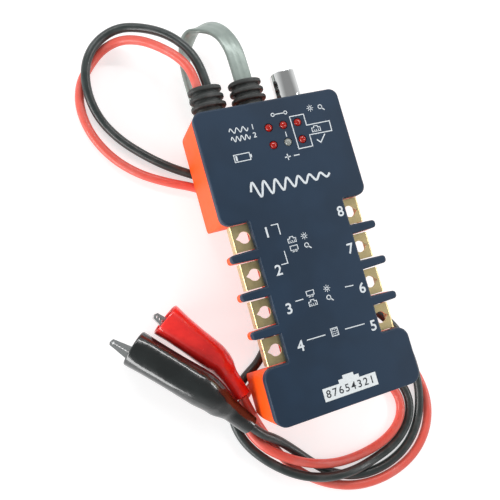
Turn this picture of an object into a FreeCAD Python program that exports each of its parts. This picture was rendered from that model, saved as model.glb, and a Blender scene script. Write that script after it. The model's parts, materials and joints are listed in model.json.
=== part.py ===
import FreeCAD, Part
import math
import os

from FreeCAD import Vector

# Line tester for network cables: a dog-bone housing with eight contact tabs, six lamps, a coax
# jack, a modular jack, a flat modular cord and two clip leads.
# Millimetres. +Z comes out of the front face, +Y runs to the end with the cords, and the origin
# is the middle of the housing with its lamps, tabs and coax jack. It lies on its back, raised on
# its own leads.

# ---- driving dimensions ----
WIDTH = 61.0                # head and foot
LENGTH = 121.0              # housing, end to end
THICK = 27.4                # front face to back
HEAD_LEN = 44.5
FOOT_LEN = 22.3
WAIST_WIDTH = 39.6
LAMP_PROUD = 1.0            # lamp domes over the face
JACK_PROUD = 13.0           # coax barrel past the head's end wall
WALL = 2.2
COVER_DEPTH = 3.2           # front cover's skirt
WAIST_DEPTH = 12.0          # face to the recessed back of the waist
WAIST_FOOT = 17.8           # half-width of that back; the walls slant out from it to the fins

FACE_Z = (THICK - LAMP_PROUD) / 2
BACK_Z = FACE_Z - THICK
SPLIT_Z = FACE_Z - COVER_DEPTH
WAIST_Z = FACE_Z - WAIST_DEPTH
TOP_Y = (LENGTH - JACK_PROUD) / 2
END_Y = TOP_Y - LENGTH
HEAD_Y = TOP_Y - HEAD_LEN   # head's waist-facing wall
FOOT_Y = END_Y + FOOT_LEN   # foot's waist-facing wall
HALF = WIDTH / 2
WAIST = WAIST_WIDTH / 2
INSIDE_Z = BACK_Z + WALL     # inside floor

TAB_PITCH = 14.5
TAB_FIRST_Y = 4.2
TAB_WIDTH = 10.2
TAB_REACH = 27.2            # outer face of the tab's flange
TAB_METAL = 0.8
TAB_HOLE_R = 2.3
TAB_HOLE_X = 22.5
TAB_NOTCH_X = 25.9          # point of the teardrop
TAB_ROOT_X = 16.2
FLANGE_Z = 5.4
FIN_ROOT = 3.9
FIN_TIP = 3.0
FIN_Z = 5.8                 # underside of the rear cover's fins

BOARD_TOP = 8.6
BOARD_THICK = 1.6
BOARD_HALF = 27.4
BOARD_WAIST = 16.9

LAMP_R = 1.5
LAMP_X = (-2.1, 4.05, 10.2)
LAMP_Y = (42.9, 35.9)
LAMP_HOLE_R = 1.7

CONNECTOR_Z = 2.0
LEAD_BOOT_X = -19.8
CORD_BOOT_X = -2.7
COAX_X = 14.5
BOOT_END_Y = 66.5
COAX_R = 5.8
COAX_NECK_R = 5.6           # behind the barrel's shoulder, through the wall

SCREWS = ((-25.6, 46.3), (25.6, 46.3), (-25.2, -52.7), (25.2, -52.7))

LEAD_D = 3.7
LEAD_Z = BACK_Z - 2.0       # centre of a lead under the housing
CORD_D = 2.6
CORD_Z = LEAD_Z - 0.5
JACK_X = 1.0

# ---- routes of the cords: hand-set points, from the housing to the far end ----
BLACK_ROUTE = [
    (-18.2, 66.5, 2.0), (-18.2, 74.5, 2.0), (-21.1, 84.5, 0.8), (-26.5, 93.0, -2.5),
    (-34.5, 99.5, -7.0), (-44.5, 103.2, -11.0), (-54.8, 98.6, -11.9), (-61.2, 89.8, -12.0),
    (-63.0, 79.0, -13.3), (-60.8, 68.5, LEAD_Z), (-55.2, 58.6, LEAD_Z), (-47.0, 50.1, LEAD_Z),
    (-38.2, 43.0, LEAD_Z), (-28.0, 37.0, LEAD_Z), (-16.0, 30.5, LEAD_Z), (-6.2, 21.0, LEAD_Z),
    (0.0, 9.0, LEAD_Z), (3.4, -4.0, LEAD_Z), (5.5, -15.0, -14.3), (8.2, -24.0, -11.9),
    (11.4, -33.5, -11.9), (15.8, -42.0, -15.9), (21.8, -51.0, LEAD_Z), (29.5, -60.5, LEAD_Z),
    (36.2, -70.6, LEAD_Z), (38.2, -80.0, LEAD_Z), (34.4, -88.7, LEAD_Z), (25.5, -95.2, LEAD_Z),
    (13.5, -98.0, -15.8), (1.5, -98.4, -12.4), (-10.5, -96.6, -11.8), (-21.5, -91.6, -11.8),
    (-31.0, -83.5, -13.1), (-37.5, -74.5, LEAD_Z), (-40.2, -64.5, LEAD_Z), (-38.0, -55.0, LEAD_Z),
    (-30.8, -48.8, LEAD_Z), (-23.6, -44.9, LEAD_Z), (-18.6, -39.6, LEAD_Z), (-14.2, -33.4, LEAD_Z),
    (-6.5, -29.0, LEAD_Z), (2.6, -27.2, LEAD_Z),
    (12.2, -26.6, LEAD_Z), (23.0, -29.5, LEAD_Z), (33.0, -37.0, -15.5), (39.4, -47.5, -12.4),
    (41.8, -58.0, -11.6), (42.4, -68.2, -11.9), (42.4, -79.2, -14.5), (38.8, -90.0, LEAD_Z),
    (30.2, -98.3, LEAD_Z), (18.0, -102.4, LEAD_Z), (5.0, -102.0, LEAD_Z), (-5.5, -97.2, LEAD_Z),
    (-13.0, -90.0, LEAD_Z), (-19.4, -82.1, -15.5), (-26.0, -75.1, -12.1), (-31.8, -71.1, -10.2),
    (-35.4, -66.0, -9.0),
]
RED_ROUTE = [
    (-22.2, 66.5, 2.0), (-22.2, 73.5, 2.0), (-25.6, 81.2, 1.0), (-31.5, 88.2, -2.0),
    (-37.5, 94.3, -6.5), (-44.6, 98.0, -11.5), (-52.4, 96.6, -15.0), (-59.0, 91.0, LEAD_Z),
    (-64.8, 83.6, LEAD_Z), (-67.2, 73.5, LEAD_Z), (-65.4, 62.0, LEAD_Z), (-59.7, 51.2, LEAD_Z),
    (-51.0, 42.6, LEAD_Z), (-40.2, 36.6, LEAD_Z), (-29.5, 32.2, LEAD_Z), (-18.8, 25.6, LEAD_Z),
    (-10.2, 16.8, LEAD_Z), (-4.8, 5.8, LEAD_Z), (-1.6, -6.5, LEAD_Z), (0.6, -17.5, -14.3),
    (3.4, -26.5, -11.9), (6.8, -35.5, -11.9), (11.2, -43.4, -15.9), (17.6, -53.0, LEAD_Z),
    (25.2, -62.9, LEAD_Z), (31.6, -71.0, LEAD_Z), (33.9, -79.6, LEAD_Z), (30.2, -87.4, LEAD_Z),
    (21.4, -92.4, LEAD_Z), (9.8, -94.4, LEAD_Z), (-3.0, -93.4, -13.8), (-14.5, -89.4, -11.8),
    (-24.4, -83.5, -11.8), (-32.3, -76.1, -12.8), (-35.8, -67.5, LEAD_Z), (-35.4, -58.8, LEAD_Z),
    (-29.4, -53.0, LEAD_Z), (-20.5, -50.0, LEAD_Z), (-11.5, -46.8, LEAD_Z), (-3.2, -41.6, LEAD_Z),
    (4.2, -36.0, LEAD_Z),
    (12.4, -32.0, LEAD_Z), (21.6, -35.0, LEAD_Z), (29.6, -42.0, LEAD_Z), (35.8, -51.5, LEAD_Z),
    (41.4, -61.5, LEAD_Z), (45.8, -72.5, LEAD_Z), (46.1, -84.5, LEAD_Z), (41.2, -95.0, LEAD_Z),
    (31.8, -102.8, LEAD_Z), (18.5, -106.6, LEAD_Z), (4.5, -106.0, LEAD_Z), (-7.5, -101.2, LEAD_Z),
    (-17.2, -94.0, LEAD_Z), (-24.2, -84.6, LEAD_Z), (-28.3, -74.6, -15.8), (-32.0, -64.6, -14.0),
    (-34.9, -54.6, -10.0),
]
CORD_ROUTE = [
    (-2.7, 66.5, 2.0), (-2.7, 74.0, 2.0), (-2.9, 82.5, 1.3), (-4.7, 90.5, -1.5),
    (-8.2, 96.0, -6.2), (-13.4, 97.0, -11.6), (-18.0, 93.0, -15.6), (-20.3, 84.6, CORD_Z),
    (-20.4, 74.5, CORD_Z), (-19.6, 64.0, CORD_Z), (-17.4, 53.0, CORD_Z), (-12.0, 42.5, CORD_Z),
    (-3.6, 33.0, CORD_Z), (5.0, 23.0, CORD_Z), (11.8, 12.5, -16.2), (15.4, 5.0, -14.5),
    (18.0, -1.5, -14.5),
]

# ---- clips on the leads: nose, shoulder and tail end of the sleeve, its radius at its mouth, its
# middle, its shoulder and its neck, the share of the neck's run where it is full narrow, how far
# the jaws stand out of it, and how far they lie to one side in it ----
CLIPS = {
    "black": {"nose": (-70.6, -24.8, -10.5), "shoulder": (-48.7, -48.3, -4.6), "tail": BLACK_ROUTE[-1],
              "mouth": 7.4, "middle": 7.4, "top": 7.2, "neck": 4.0, "neck_from": 0.5,
              "tip_proud": 9.0, "jaw_side": 2.4},
    "red": {"nose": (-56.4, -17.4, -10.6), "shoulder": (-40.1, -38.9, -10.7), "tail": RED_ROUTE[-1],
            "mouth": 7.1, "middle": 6.4, "top": 5.8, "neck": 3.5, "neck_from": 0.3,
            "tip_proud": 4.6, "jaw_side": 1.3},
}
SLEEVE_WALL = 0.7
TAIL_GAP = 0.4              # lead's end to sleeve's end, as the lead comes in at an angle
JAW_LEN = 31.0
JAW_BACK = 12.0             # pivot to the finger end
SHEET = 0.5
TOOTH = 1.3


# ---- small helpers ----
def box(x0, x1, y0, y1, z0, z1):
    return Part.makeBox(x1 - x0, y1 - y0, z1 - z0, Vector(x0, y0, z0))


def rod(radius, start, end):
    a, b = Vector(*start), Vector(*end)
    return Part.makeCylinder(radius, (b - a).Length, a, b - a)


def joined(shapes):
    return shapes[0].fuse(shapes[1:]).removeSplitter()


def corner(before, here, after, radius):
    """Start, middle and end of the arc that rounds one corner of an outline."""
    u, v = (before - here).normalize(), (after - here).normalize()
    half = u.getAngle(v) / 2
    along = radius / math.tan(half)
    centre = here + (u + v).normalize() * (radius / math.sin(half))
    return here + u * along, centre + (here - centre).normalize() * radius, here + v * along


def outline(corners, z):
    """Face of a closed outline, from (x, y, radius) corners."""
    points = [Vector(x, y, z) for x, y, _ in corners]
    arcs = [
        corner(points[i - 1], p, points[(i + 1) % len(points)], corners[i][2])
        for i, p in enumerate(points)
    ]
    edges = []
    for i, (start, middle, end) in enumerate(arcs):
        edges.append(Part.Arc(start, middle, end).toShape())
        edges.append(Part.LineSegment(end, arcs[(i + 1) % len(arcs)][0]).toShape())
    return Part.Face(Part.Wire(edges))


def slab(corners, z0, z1):
    return outline(corners, z0).extrude(Vector(0, 0, z1 - z0))


def rectangle(x0, x1, y0, y1, radius):
    return [(x0, y0, radius), (x1, y0, radius), (x1, y1, radius), (x0, y1, radius)]


def oval(rx, rz, x, y0, y1):
    """Solid oval along Y, centred at the connectors' height."""
    ring = Part.Ellipse(Vector(0, 0, 0), max(rx, rz), min(rx, rz)).toShape()
    face = Part.Face(Part.Wire([ring]))
    face.rotate(Vector(0, 0, 0), Vector(1, 0, 0), 90)
    face.translate(Vector(x, y0, CONNECTOR_Z))
    return face.extrude(Vector(0, y1 - y0, 0))


def tube(route, diameter, name):
    """Round tube along straight runs joined by tangent arcs."""
    points = [Vector(*p) for p in route]
    runs = [(b - a).Length for a, b in zip(points, points[1:])]
    edges, here, radii = [], points[0], []
    for i in range(1, len(points) - 1):
        back = (points[i - 1] - points[i]).normalize()
        ahead = (points[i + 1] - points[i]).normalize()
        half_turn = (math.pi - back.getAngle(ahead)) / 2
        cut = 0.45 * min(runs[i - 1], runs[i])
        radius = cut / math.tan(half_turn)
        start, end = points[i] + back * cut, points[i] + ahead * cut
        centre = points[i] + (back + ahead).normalize() * (radius / math.cos(half_turn))
        middle = centre + (points[i] - centre).normalize() * radius
        edges += [Part.LineSegment(here, start).toShape(), Part.Arc(start, middle, end).toShape()]
        here = end
        radii.append(radius)
    edges.append(Part.LineSegment(here, points[-1]).toShape())
    path = Part.Wire(edges)
    ring = Part.makeCircle(diameter / 2, points[0], points[1] - points[0])
    solid = path.makePipeShell([Part.Wire([ring])], True, False, 2)
    ratio = abs(solid.Volume) / (math.pi * diameter**2 / 4 * path.Length)
    print(f"{name}: length {path.Length:.0f} mm, volume over section times length {ratio:.3f}, "
          f"tightest radius {min(radii):.1f}, radii {' '.join(f'{r:.0f}' for r in radii)}")
    return solid


# ---- housing ----
def body_outline(inset=0.0):
    """The dog-bone outline; a positive inset is the inside of a wall."""
    r = max(0.6, 3.6 - inset)
    x, w = HALF - inset, WAIST - inset
    top, bottom = TOP_Y - inset, END_Y + inset
    head, foot = HEAD_Y + inset, FOOT_Y - inset
    return [
        (-x, bottom, r + 0.8), (x, bottom, r + 0.8), (x, foot, r + 0.8), (w, foot, 0.8),
        (w, head, 0.8), (x, head, r), (x, top, r), (-x, top, r),
        (-x, head, r), (-w, head, 0.8), (-w, foot, 0.8), (-x, foot, r + 0.8),
    ]


def tab_y(row):
    return TAB_FIRST_Y - row * TAB_PITCH


def fin_outline(side, row):
    """A fin between two tabs: it narrows to a round end level with the head's side."""
    y = tab_y(row) - TAB_PITCH / 2
    a, b = side * (WAIST - 2.5), side * HALF
    root, tip = FIN_ROOT / 2, FIN_TIP / 2
    near = [(a, y - root, 0.3), (b, y - tip, tip * 0.85)]
    far = [(b, y + tip, tip * 0.85), (a, y + root, 0.3)]
    return near + far if side > 0 else [far[1], far[0], near[1], near[0]]


def fins(z0, z1):
    return [slab(fin_outline(side, row), z0, z1) for side in (-1, 1) for row in range(3)]


def edges_at(shape, test):
    return [e for e in shape.Edges if all(test(v.Point) for v in e.Vertexes)]


def rounded(shape, test, radius):
    """Round the edges whose ends pass the test."""
    return shape.makeFillet(radius, edges_at(shape, test))


def front_cover():
    skin = joined([slab(body_outline(), SPLIT_Z, FACE_Z)] + fins(SPLIT_Z, FACE_Z))
    skin = rounded(skin, lambda p: abs(p.z - FACE_Z) < 1e-4, 0.8)
    skin = skin.cut(slab(body_outline(WALL), SPLIT_Z - 1, FACE_Z - WALL))
    for x, y in SCREWS:
        post = rod(2.6, (x, y, FACE_Z - WALL + 0.4), (x, y, -1.6))
        skin = skin.fuse(post).cut(rod(1.2, (x, y, -2), (x, y, 9)))
    for x in LAMP_X:
        for y in LAMP_Y:
            skin = skin.cut(rod(LAMP_HOLE_R, (x, y, 8), (x, y, FACE_Z + 1)))
    return skin


def end_wedge(points):
    """Prism across the housing's width, from points in the (y, z) plane."""
    wire = Part.makePolygon([Vector(-HALF - 5, y, z) for y, z in points + points[:1]])
    return Part.Face(wire).extrude(Vector(2 * HALF + 10, 0, 0))


def waist_prism(right, reach):
    """Prism along the waist, from the (x, z) points of its right side, mirrored for the left."""
    points = right + [(-x, z) for x, z in reversed(right)]
    wire = Part.makePolygon([Vector(x, FOOT_Y - reach, z) for x, z in points + points[:1]])
    return Part.Face(wire).extrude(Vector(0, HEAD_Y - FOOT_Y + 2 * reach, 0))


def rear_shape():
    """Outside of the rear cover: head and foot at full depth, a shallow waist between them."""
    head = slab(rectangle(-HALF, HALF, HEAD_Y, TOP_Y, 3.6), BACK_Z, SPLIT_Z)
    head = rounded(head, lambda p: abs(p.z - BACK_Z) < 1e-4, 1.6)
    head = head.cut(end_wedge([(HEAD_Y - 1, SPLIT_Z), (HEAD_Y, SPLIT_Z), (HEAD_Y + 2.2, BACK_Z - 1),
                               (HEAD_Y - 1, BACK_Z - 1)]))
    foot = slab(rectangle(-HALF, HALF, END_Y, FOOT_Y, 4.4), BACK_Z, SPLIT_Z)
    foot = rounded(foot, lambda p: abs(p.z - BACK_Z) < 1e-4, 1.6)
    foot = foot.cut(end_wedge([(FOOT_Y + 1, SPLIT_Z), (FOOT_Y, SPLIT_Z), (FOOT_Y - 2.8, BACK_Z - 1),
                               (FOOT_Y + 1, BACK_Z - 1)]))
    foot = foot.cut(end_wedge([(END_Y - 1, -3.6), (END_Y, -3.6), (END_Y + 4.8, BACK_Z - 1),
                               (END_Y - 1, BACK_Z - 1)]))
    blocks = [head, foot]
    waist = waist_prism([(WAIST_FOOT, WAIST_Z), (WAIST, FIN_Z), (WAIST, SPLIT_Z)], 4)
    return joined(blocks + [waist] + fins(FIN_Z, SPLIT_Z))


def rear_inside():
    """Room inside the rear cover."""
    head = slab(rectangle(-HALF + WALL, HALF - WALL, HEAD_Y + WALL + 2.0, TOP_Y - WALL, 1.6),
                INSIDE_Z, SPLIT_Z + 1)
    foot = slab(rectangle(-HALF + WALL, HALF - WALL, END_Y + WALL, FOOT_Y - WALL - 2.6, 1.6),
                INSIDE_Z, SPLIT_Z + 1)
    foot = foot.cut(end_wedge([(END_Y, -3.6), (END_Y + WALL, -3.6), (END_Y + WALL + 4.8, BACK_Z - 1),
                               (END_Y, BACK_Z - 1)]))
    waist = waist_prism([(16.6, WAIST_Z + WALL), (WAIST - WALL, FIN_Z), (WAIST - WALL, SPLIT_Z + 1)], 6)
    return joined([head, foot, waist])


DOOR = {"x0": -24.0, "x1": HALF, "y0": 14.6, "y1": 41.4, "tongue": 1.1, "gap": 0.25}


def door_slot():
    """The opening in the back that the battery door fills, with its two grooves."""
    g = DOOR["gap"]
    plate = box(DOOR["x0"] - g, DOOR["x1"] + 5, DOOR["y0"] - g, DOOR["y1"] + g, BACK_Z - 1, INSIDE_Z + 0.4)
    t = DOOR["tongue"] + g
    groove = box(DOOR["x0"] - g, DOOR["x1"] + 5, DOOR["y0"] - t, DOOR["y1"] + t, BACK_Z + 0.9, BACK_Z + 1.9)
    return plate.fuse(groove)


def battery_door():
    t = DOOR["tongue"]
    plate = box(DOOR["x0"], DOOR["x1"], DOOR["y0"], DOOR["y1"], BACK_Z, INSIDE_Z)
    plate = plate.fuse(box(DOOR["x0"], DOOR["x1"] - 3, DOOR["y0"] - t, DOOR["y1"] + t,
                           BACK_Z + 1.05, BACK_Z + 1.75)).removeSplitter()
    middle = (DOOR["y0"] + DOOR["y1"]) / 2
    for i in range(5):                                     # grip ridges for the thumb
        x = DOOR["x1"] - 5 - 1.8 * i
        plate = plate.cut(box(x, x + 0.8, middle - 7, middle + 7, BACK_Z - 1, BACK_Z + 0.5))
    return plate


BUTTON = {"y": 27.0, "z": 3.4, "half_y": 3.4, "half_z": 1.9, "travel": 0.6}


def button_prism(x0, x1, grow):
    """The button's pill shape, along X."""
    b = BUTTON
    r = b["half_z"] + grow
    flat = b["half_y"] - b["half_z"]
    core = box(x0, x1, b["y"] - flat, b["y"] + flat, b["z"] - r, b["z"] + r)
    ends = [rod(r, (x0, b["y"] + s * flat, b["z"]), (x1, b["y"] + s * flat, b["z"])) for s in (-1, 1)]
    return joined([core] + ends)


def mode_button():
    cap = button_prism(HALF - WALL - 0.6, HALF - 0.1, 0.0)
    return cap.fuse(button_prism(HALF - WALL - 1.4, HALF - WALL - 0.5, 0.9)).removeSplitter()


def tactile_switch():
    b = BUTTON
    case = box(22.9, 25.9, b["y"] - 3, b["y"] + 3, 0.6, BOARD_TOP - BOARD_THICK)
    return case.fuse(rod(1.0, (25.9, b["y"], b["z"]), (26.2, b["y"], b["z"])))


JACK = {"half": 7.8, "deep": 15.5, "floor": -4.6, "port_half": 5.95, "port_z0": -2.3, "port_z1": 6.0}


def rear_cover():
    shape = rear_shape()
    shell = shape.cut(rear_inside())
    for x, y in SCREWS:
        post = rod(3.4, (x, y, BACK_Z + 0.4), (x, y, -2.0))
        shell = shell.fuse(post.common(shape))
        shell = shell.cut(rod(1.7, (x, y, BACK_Z - 1), (x, y, 0)))
        shell = shell.cut(rod(3.0, (x, y, BACK_Z - 1), (x, y, BACK_Z + 3.2)))
    shell = shell.cut(door_slot())
    for x in (LEAD_BOOT_X, CORD_BOOT_X):
        shell = shell.cut(oval(5.3, 3.7, x, TOP_Y - WALL - 1, TOP_Y + 1))
    shell = shell.cut(coax_rod(COAX_NECK_R + 0.05, WALL + 1, 1))
    shell = shell.cut(button_prism(HALF - WALL - 1, HALF + 1, 0.15))
    shell = shell.cut(box(JACK_X - JACK["half"] - 0.15, JACK_X + JACK["half"] + 0.15, END_Y - 2,
                          END_Y + WALL + 3, JACK["floor"] - 0.15, 7.2))
    for side in (-1, 1):                                   # the tabs lie in notches in the rim
        for row in range(4):
            x0, x1 = sorted((side * (TAB_ROOT_X - 1), side * (WAIST + 0.01)))
            shell = shell.cut(box(x0, x1, tab_y(row) - TAB_WIDTH / 2 - 0.05,
                                  tab_y(row) + TAB_WIDTH / 2 + 0.05, SPLIT_Z - TAB_METAL - 0.02, SPLIT_Z + 1))
    return shell


def housing_screws():
    """Four self-tapping screws, driven in from the back."""
    screws = []
    for x, y in SCREWS:
        screw = rod(2.7, (x, y, BACK_Z + 1.2), (x, y, BACK_Z + 3.2)).fuse(
            rod(1.15, (x, y, BACK_Z + 3.1), (x, y, 6.0)))
        for turn in (0, 90):
            slot = box(x - 1.6, x + 1.6, y - 0.35, y + 0.35, BACK_Z, BACK_Z + 2.2)
            slot.rotate(Vector(x, y, 0), Vector(0, 0, 1), turn)
            screw = screw.cut(slot)
        screws.append(screw)
    return Part.makeCompound(screws)


# ---- contact tabs ----
def test_tab(number):
    """Bent sheet tab with a teardrop hole whose point looks outward."""
    side = -1 if number <= 4 else 1
    row = number - 1 if number <= 4 else 8 - number
    half = TAB_WIDTH / 2
    z1, z0 = SPLIT_Z - 0.01, SPLIT_Z - TAB_METAL
    tab = joined([
        box(TAB_ROOT_X, TAB_REACH, -half, half, z0, z1),
        box(TAB_REACH - TAB_METAL, TAB_REACH, -half, half, FLANGE_Z, z1),
        box(TAB_ROOT_X, TAB_ROOT_X + TAB_METAL, -1.5, 1.5, BOARD_TOP - BOARD_THICK - 0.8, z1),
    ])
    tab = tab.makeFillet(0.75, edges_at(tab, lambda p: abs(p.x - TAB_REACH) < 1e-4 and abs(p.z - z1) < 1e-4))
    tab = tab.cut(rod(TAB_HOLE_R, (TAB_HOLE_X, 0, 0), (TAB_HOLE_X, 0, 20)))
    point = Part.makePolygon([Vector(TAB_HOLE_X + 1.9, -1.15, 0), Vector(TAB_NOTCH_X, 0, 0),
                              Vector(TAB_HOLE_X + 1.9, 1.15, 0), Vector(TAB_HOLE_X + 1.9, -1.15, 0)])
    tab = tab.cut(Part.Face(point).extrude(Vector(0, 0, 20)))
    if side < 0:
        tab.rotate(Vector(0, 0, 0), Vector(0, 0, 1), 180)
    tab.translate(Vector(0, tab_y(row), 0))
    return tab


# ---- board, lamps and parts on it ----
def circuit_board():
    z0, z1 = BOARD_TOP - BOARD_THICK, BOARD_TOP
    board = joined([
        box(-BOARD_HALF, BOARD_HALF, HEAD_Y + 4.6, TOP_Y - WALL - 0.8, z0, z1),
        box(-BOARD_WAIST, BOARD_WAIST, FOOT_Y - 6, HEAD_Y + 6, z0, z1),
        box(-BOARD_HALF, BOARD_HALF, END_Y + WALL + 0.5, FOOT_Y - WALL - 3, z0, z1),
    ])
    for x, y in SCREWS:
        board = board.cut(rod(3.0, (x, y, z0 - 1), (x, y, z1 + 1)))
    board = board.cut(box(COAX_X - 3.7, COAX_X + 3.7, TOP_Y - 6.4, TOP_Y, z0 - 1, z1 + 1))
    for number in range(1, 9):
        side = -1 if number <= 4 else 1
        y = tab_y(number - 1 if number <= 4 else 8 - number)
        x0, x1 = sorted((side * (TAB_ROOT_X - 0.2), side * (TAB_ROOT_X + TAB_METAL + 0.2)))
        board = board.cut(box(x0, x1, y - 1.7, y + 1.7, z0 - 1, z1 + 1))
    for x in LAMP_X:
        for y in LAMP_Y:
            for s in (-1.27, 1.27):
                board = board.cut(rod(0.5, (x + s, y, z0 - 1), (x + s, y, z1 + 1)))
    return board


def lamp(x, y):
    """3 mm lamp: flange, lens with a domed top, and two legs through the board."""
    base = BOARD_TOP + 0.3
    top = FACE_Z + LAMP_PROUD
    lens = rod(LAMP_R, (x, y, base + 0.9), (x, y, top - LAMP_R))
    dome = Part.makeSphere(LAMP_R, Vector(x, y, top - LAMP_R))
    flange = rod(1.85, (x, y, base), (x, y, base + 1.0))
    legs = [box(x + s - 0.25, x + s + 0.25, y - 0.25, y + 0.25, BOARD_TOP - BOARD_THICK - 1, base + 0.1)
            for s in (-1.27, 1.27)]
    return joined([lens, dome, flange] + legs)


def main_chip():
    """Surface-mounted controller on the board's underside in the waist."""
    z1 = BOARD_TOP - BOARD_THICK
    body = box(-3.75, 3.75, -26, -13, z1 - 2.4, z1 - 0.2)
    pins = [box(s * 3.7 if s > 0 else -5.2, 5.2 if s > 0 else -3.7, -25.1 + 1.27 * i, -24.7 + 1.27 * i,
                z1 - 0.9, z1) for s in (-1, 1) for i in range(9)]
    return joined([body] + pins)


# ---- end connectors ----
def boot(x):
    """Ribbed strain relief: an oval core, ribs, and a flange held inside the wall."""
    parts = [oval(5.2, 3.6, x, TOP_Y - WALL - 0.1, BOOT_END_Y - 0.5)]
    parts.append(oval(7.0, 5.0, x, TOP_Y - WALL - 1.5, TOP_Y - WALL))
    for y, grow in ((TOP_Y + 0.0, 0.6), (TOP_Y + 3.6, 0.3), (TOP_Y + 7.1, 0.1), (BOOT_END_Y - 2.0, 0.0)):
        parts.append(oval(6.9 + grow, 5.0 + grow, x, y, y + 2.0))
    return joined(parts)


def coax_rod(radius, inward, outward):
    """Rod on the coax jack's axis, from inside the head's end wall to outside it."""
    return rod(radius, (COAX_X, TOP_Y - inward, CONNECTOR_Z), (COAX_X, TOP_Y + outward, CONNECTOR_Z))


def coax_jack_barrel():
    barrel = coax_rod(COAX_R, 0, JACK_PROUD).fuse(coax_rod(COAX_NECK_R, 6, 0.1))
    return barrel.cut(coax_rod(COAX_R - 0.9, 7, JACK_PROUD + 1))


def coax_jack_insulator():
    return coax_rod(COAX_R - 0.95, 5, JACK_PROUD - 1.5).cut(coax_rod(1.25, 7, JACK_PROUD + 1))


def coax_jack_contact():
    return coax_rod(1.2, 8, JACK_PROUD - 1.8).cut(coax_rod(0.5, 0, JACK_PROUD))


def coax_jack_nut():
    wire = Part.makePolygon([
        Vector(COAX_X + 7.9 * math.cos(math.radians(60 * i)), TOP_Y - WALL - 2.2,
               CONNECTOR_Z + 7.9 * math.sin(math.radians(60 * i))) for i in range(7)])
    nut = Part.Face(wire).extrude(Vector(0, 2.15, 0))
    nut = nut.common(box(COAX_X - 9, COAX_X + 9, 0, 60, -9, BOARD_TOP - BOARD_THICK - 0.1))
    return nut.cut(coax_rod(COAX_NECK_R + 0.05, 10, 5))


def modular_jack_housing():
    j = JACK
    body = box(JACK_X - j["half"], JACK_X + j["half"], END_Y, END_Y + j["deep"], j["floor"],
               BOARD_TOP - BOARD_THICK - 0.05)
    port = box(JACK_X - j["port_half"], JACK_X + j["port_half"], END_Y - 1, END_Y + 12.5,
               j["port_z0"], j["port_z1"])
    notch = box(JACK_X - 3.1, JACK_X + 3.1, END_Y - 1, END_Y + 9.0, j["port_z0"] - 1.3, j["port_z0"] + 1)
    body = body.cut(port.fuse(notch))
    return body.cut(end_wedge([(END_Y - 1, -3.6), (END_Y, -3.6), (END_Y + 4.8, BACK_Z - 1),
                               (END_Y - 1, BACK_Z - 1)]))


def modular_jack_contacts():
    """Eight spring wires, slanting down from the port's roof."""
    wires = []
    for i in range(8):
        x = JACK_X + 1.02 * (i - 3.5)
        wires.append(rod(0.23, (x, END_Y + 2.6, JACK["port_z1"] - 0.5),
                         (x, END_Y + 9.5, JACK["port_z0"] + 4.6)))
    return Part.makeCompound(wires)


# ---- battery ----
BATTERY = {"x0": -23.7, "x1": 22.4, "y0": 14.9, "y1": 41.1, "z0": INSIDE_Z + 0.3, "z1": INSIDE_Z + 17.6}


def battery_studs(grow):
    b = BATTERY
    z = (b["z0"] + b["z1"]) / 2
    y = (b["y0"] + b["y1"]) / 2
    return [rod(r + grow, (b["x0"] + 0.1, y + s, z), (b["x0"] - 2.0 - grow, y + s, z))
            for s, r in ((-6.35, 2.9), (6.35, 3.9))]


def nine_volt_battery():
    b = BATTERY
    case = box(b["x0"], b["x1"], b["y0"], b["y1"], b["z0"], b["z1"])
    case = case.makeFillet(2.0, [e for e in case.Edges if abs(e.Vertexes[0].X - e.Vertexes[-1].X) > 10])
    return joined([case] + battery_studs(0.0))


def battery_snap_cap():
    b = BATTERY
    cap = slab(rectangle(b["x0"] - 3.6, b["x0"] - 0.1, b["y0"] + 1.5, b["y1"] - 1.5, 0.5),
               b["z0"] + 2.3, b["z1"] - 2.3)
    return cap.cut(joined(battery_studs(0.15)))


# ---- modular plug on the flat cord ----
PLUG = {"at": CORD_ROUTE[-1], "turn": -68.2, "half": 5.85, "long": 21.5, "z0": -3.3, "z1": 3.3}


def on_plug(shape):
    """Carry a shape from the plug's own axes (X along the cord) to its place."""
    shape.rotate(Vector(0, 0, 0), Vector(0, 0, 1), PLUG["turn"])
    shape.translate(Vector(*PLUG["at"]))
    return shape


def modular_plug_body():
    p = PLUG
    body = box(0, p["long"], -p["half"], p["half"], p["z0"], p["z1"])
    body = body.cut(box(p["long"] - 8, p["long"] + 1, -3.3, 3.3, p["z1"] - 1.0, p["z1"] + 1))
    for i in range(8):
        y = 1.02 * (i - 3.5)
        body = body.cut(box(p["long"] - 4.5, p["long"] + 1, y - 0.3, y + 0.3, p["z0"] - 1, p["z0"] + 1.6))
    return on_plug(body)


def modular_plug_contacts():
    p = PLUG
    blades = [box(p["long"] - 4.4, p["long"] - 0.6, 1.02 * (i - 3.5) - 0.18, 1.02 * (i - 3.5) + 0.18,
                  p["z0"] + 0.3, p["z0"] + 1.55) for i in range(8)]
    return on_plug(Part.makeCompound(blades))


def modular_plug_latch():
    """Springy tab, rooted at the plug's nose and rising towards the cord."""
    p = PLUG
    root = p["long"] - 1.0
    wire = Part.makePolygon([Vector(root, -3.0, p["z1"] - 0.85), Vector(root, -3.0, p["z1"] - 0.05),
                             Vector(8.0, -3.0, p["z1"] + 3.4), Vector(8.0, -3.0, p["z1"] + 2.6),
                             Vector(root, -3.0, p["z1"] - 0.85)])
    return on_plug(Part.Face(wire).extrude(Vector(0, 6.0, 0)))


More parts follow.
